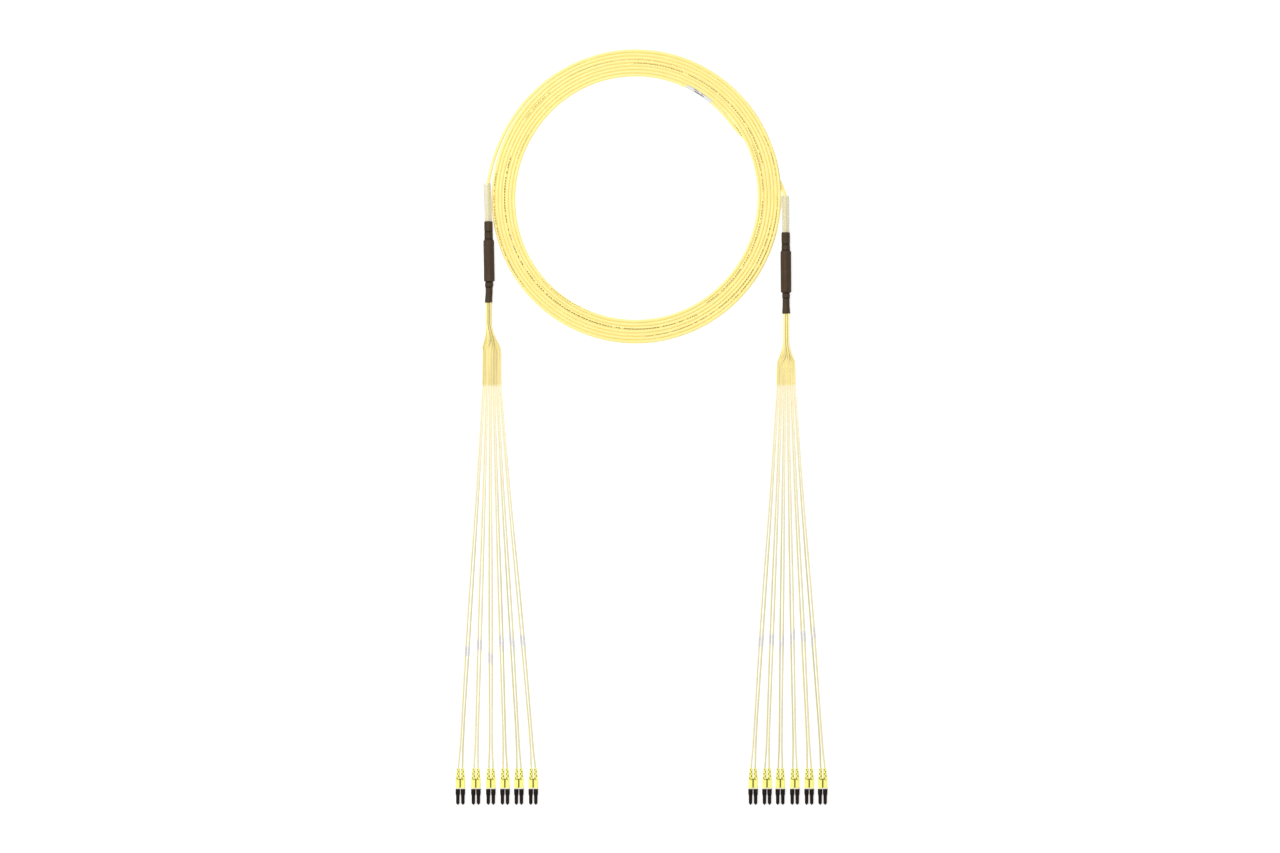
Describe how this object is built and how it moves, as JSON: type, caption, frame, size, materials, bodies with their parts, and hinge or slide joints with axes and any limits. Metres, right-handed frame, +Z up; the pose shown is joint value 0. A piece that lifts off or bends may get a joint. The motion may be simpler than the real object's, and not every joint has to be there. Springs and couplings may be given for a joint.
{
  "type": "fibre optic trunk cable",
  "caption": "Yellow fibre optic trunk cable wound into a flat coil, with a black heat-shrunk breakout at each end that fans out into thin legs with capped duplex connectors.",
  "frame": {"origin": "middle of the cable's footprint, on the floor it lies on", "axes": "+Y from the connectors to the coil, +X to the right seen from above, +Z up"},
  "size_m": [0.4566, 0.9286, 0.0136],
  "materials": {
    "cable_jacket": "satin extruded jacket",
    "leg_jacket": "satin extruded jacket",
    "heat_shrink": "dull shrunk tubing",
    "clear_plastic": "clear soft plastic",
    "label": "plain film label",
    "boot": "soft moulded boot",
    "connector": "moulded",
    "dust_cap": "moulded"
  },
  "bodies": {
    "root": {"trunk_coil": "cable_jacket", "trunk_tail_left": "cable_jacket", "trunk_tail_right": "cable_jacket", "cable_label": "label", "breakout_left": "heat_shrink", "clear_sleeve_left": "clear_plastic", "leg_wrap_left": "clear_plastic", "leg_left_01": "leg_jacket", "leg_left_02": "leg_jacket", "leg_left_03": "leg_jacket", "leg_left_04": "leg_jacket", "leg_left_05": "leg_jacket", "leg_left_06": "leg_jacket", "leg_left_07": "leg_jacket", "leg_left_08": "leg_jacket", "leg_left_09": "leg_jacket", "leg_left_10": "leg_jacket", "leg_left_11": "leg_jacket", "leg_left_12": "leg_jacket", "duplex_left_1": "connector", "dust_caps_left_1": "dust_cap", "duplex_left_2": "connector", "dust_caps_left_2": "dust_cap", "duplex_left_3": "connector", "dust_caps_left_3": "dust_cap", "duplex_left_4": "connector", "dust_caps_left_4": "dust_cap", "duplex_left_5": "connector", "dust_caps_left_5": "dust_cap", "duplex_left_6": "connector", "dust_caps_left_6": "dust_cap", "breakout_right": "heat_shrink", "clear_sleeve_right": "clear_plastic", "leg_wrap_right": "clear_plastic", "leg_right_01": "leg_jacket", "leg_right_02": "leg_jacket", "leg_right_03": "leg_jacket", "leg_right_04": "leg_jacket", "leg_right_05": "leg_jacket", "leg_right_06": "leg_jacket", "leg_right_07": "leg_jacket", "leg_right_08": "leg_jacket", "leg_right_09": "leg_jacket", "leg_right_10": "leg_jacket", "leg_right_11": "leg_jacket", "leg_right_12": "leg_jacket", "duplex_right_1": "connector", "dust_caps_right_1": "dust_cap", "duplex_right_2": "connector", "dust_caps_right_2": "dust_cap", "duplex_right_3": "connector", "dust_caps_right_3": "dust_cap", "duplex_right_4": "connector", "dust_caps_right_4": "dust_cap", "duplex_right_5": "connector", "dust_caps_right_5": "dust_cap", "duplex_right_6": "connector", "dust_caps_right_6": "dust_cap"}
  },
  "joints": []
}
